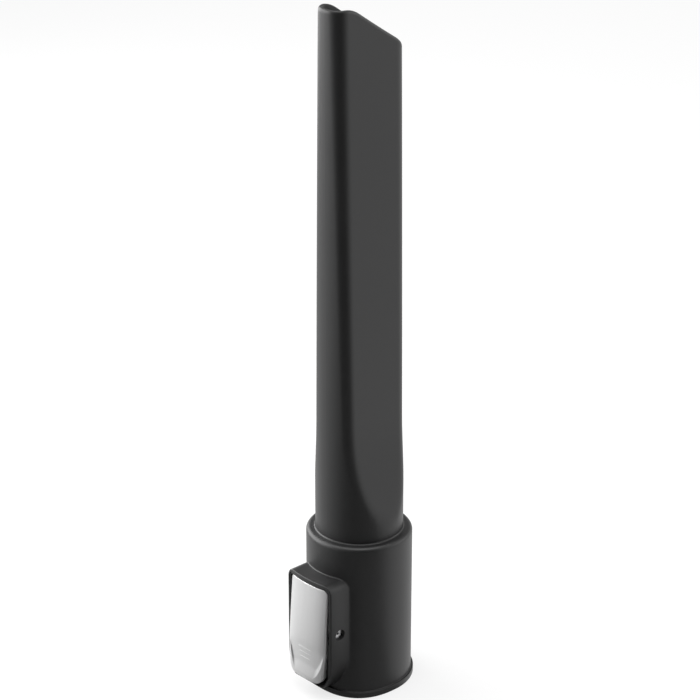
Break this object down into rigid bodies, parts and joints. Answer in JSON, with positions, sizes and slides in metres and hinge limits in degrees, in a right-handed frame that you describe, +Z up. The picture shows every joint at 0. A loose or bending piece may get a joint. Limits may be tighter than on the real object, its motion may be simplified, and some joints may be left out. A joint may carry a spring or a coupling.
{
  "type": "crevice nozzle",
  "caption": "Long flattened crevice nozzle for a vacuum cleaner wand, with a slanted mouth, a round socket collar and a sprung silver latch button.",
  "frame": {"origin": "centre of the socket's mouth, on the plane of the lip's underside", "axes": "+Z up the nozzle from the socket to the tip, -Y towards the latch button, X across the nozzle's flat sides"},
  "size_m": [0.0432, 0.0511, 0.2734],
  "materials": {
    "black_plastic": "fine satin mould texture",
    "silver_button": "satin silver coating",
    "lever_plastic": "matte",
    "pin_steel": "bright",
    "spring_steel": "bright"
  },
  "bodies": {
    "body": {"nozzle_tube": "black_plastic", "socket_collar": "black_plastic", "pivot_pin": "pin_steel", "return_spring": "spring_steel"},
    "latch": {"latch_lever": "lever_plastic", "button_cap": "silver_button"}
  },
  "joints": [
    {"name": "latch_pivot", "type": "hinge", "parent": "body", "child": "latch", "pos_m": [0, -0.0215, 0.0289], "axis": [1, 0, 0], "range_deg": [0, 7.5], "stiffness_Nm_per_rad": 0.3, "springref_deg": -11.46, "deforming": ["return_spring"]}
  ]
}
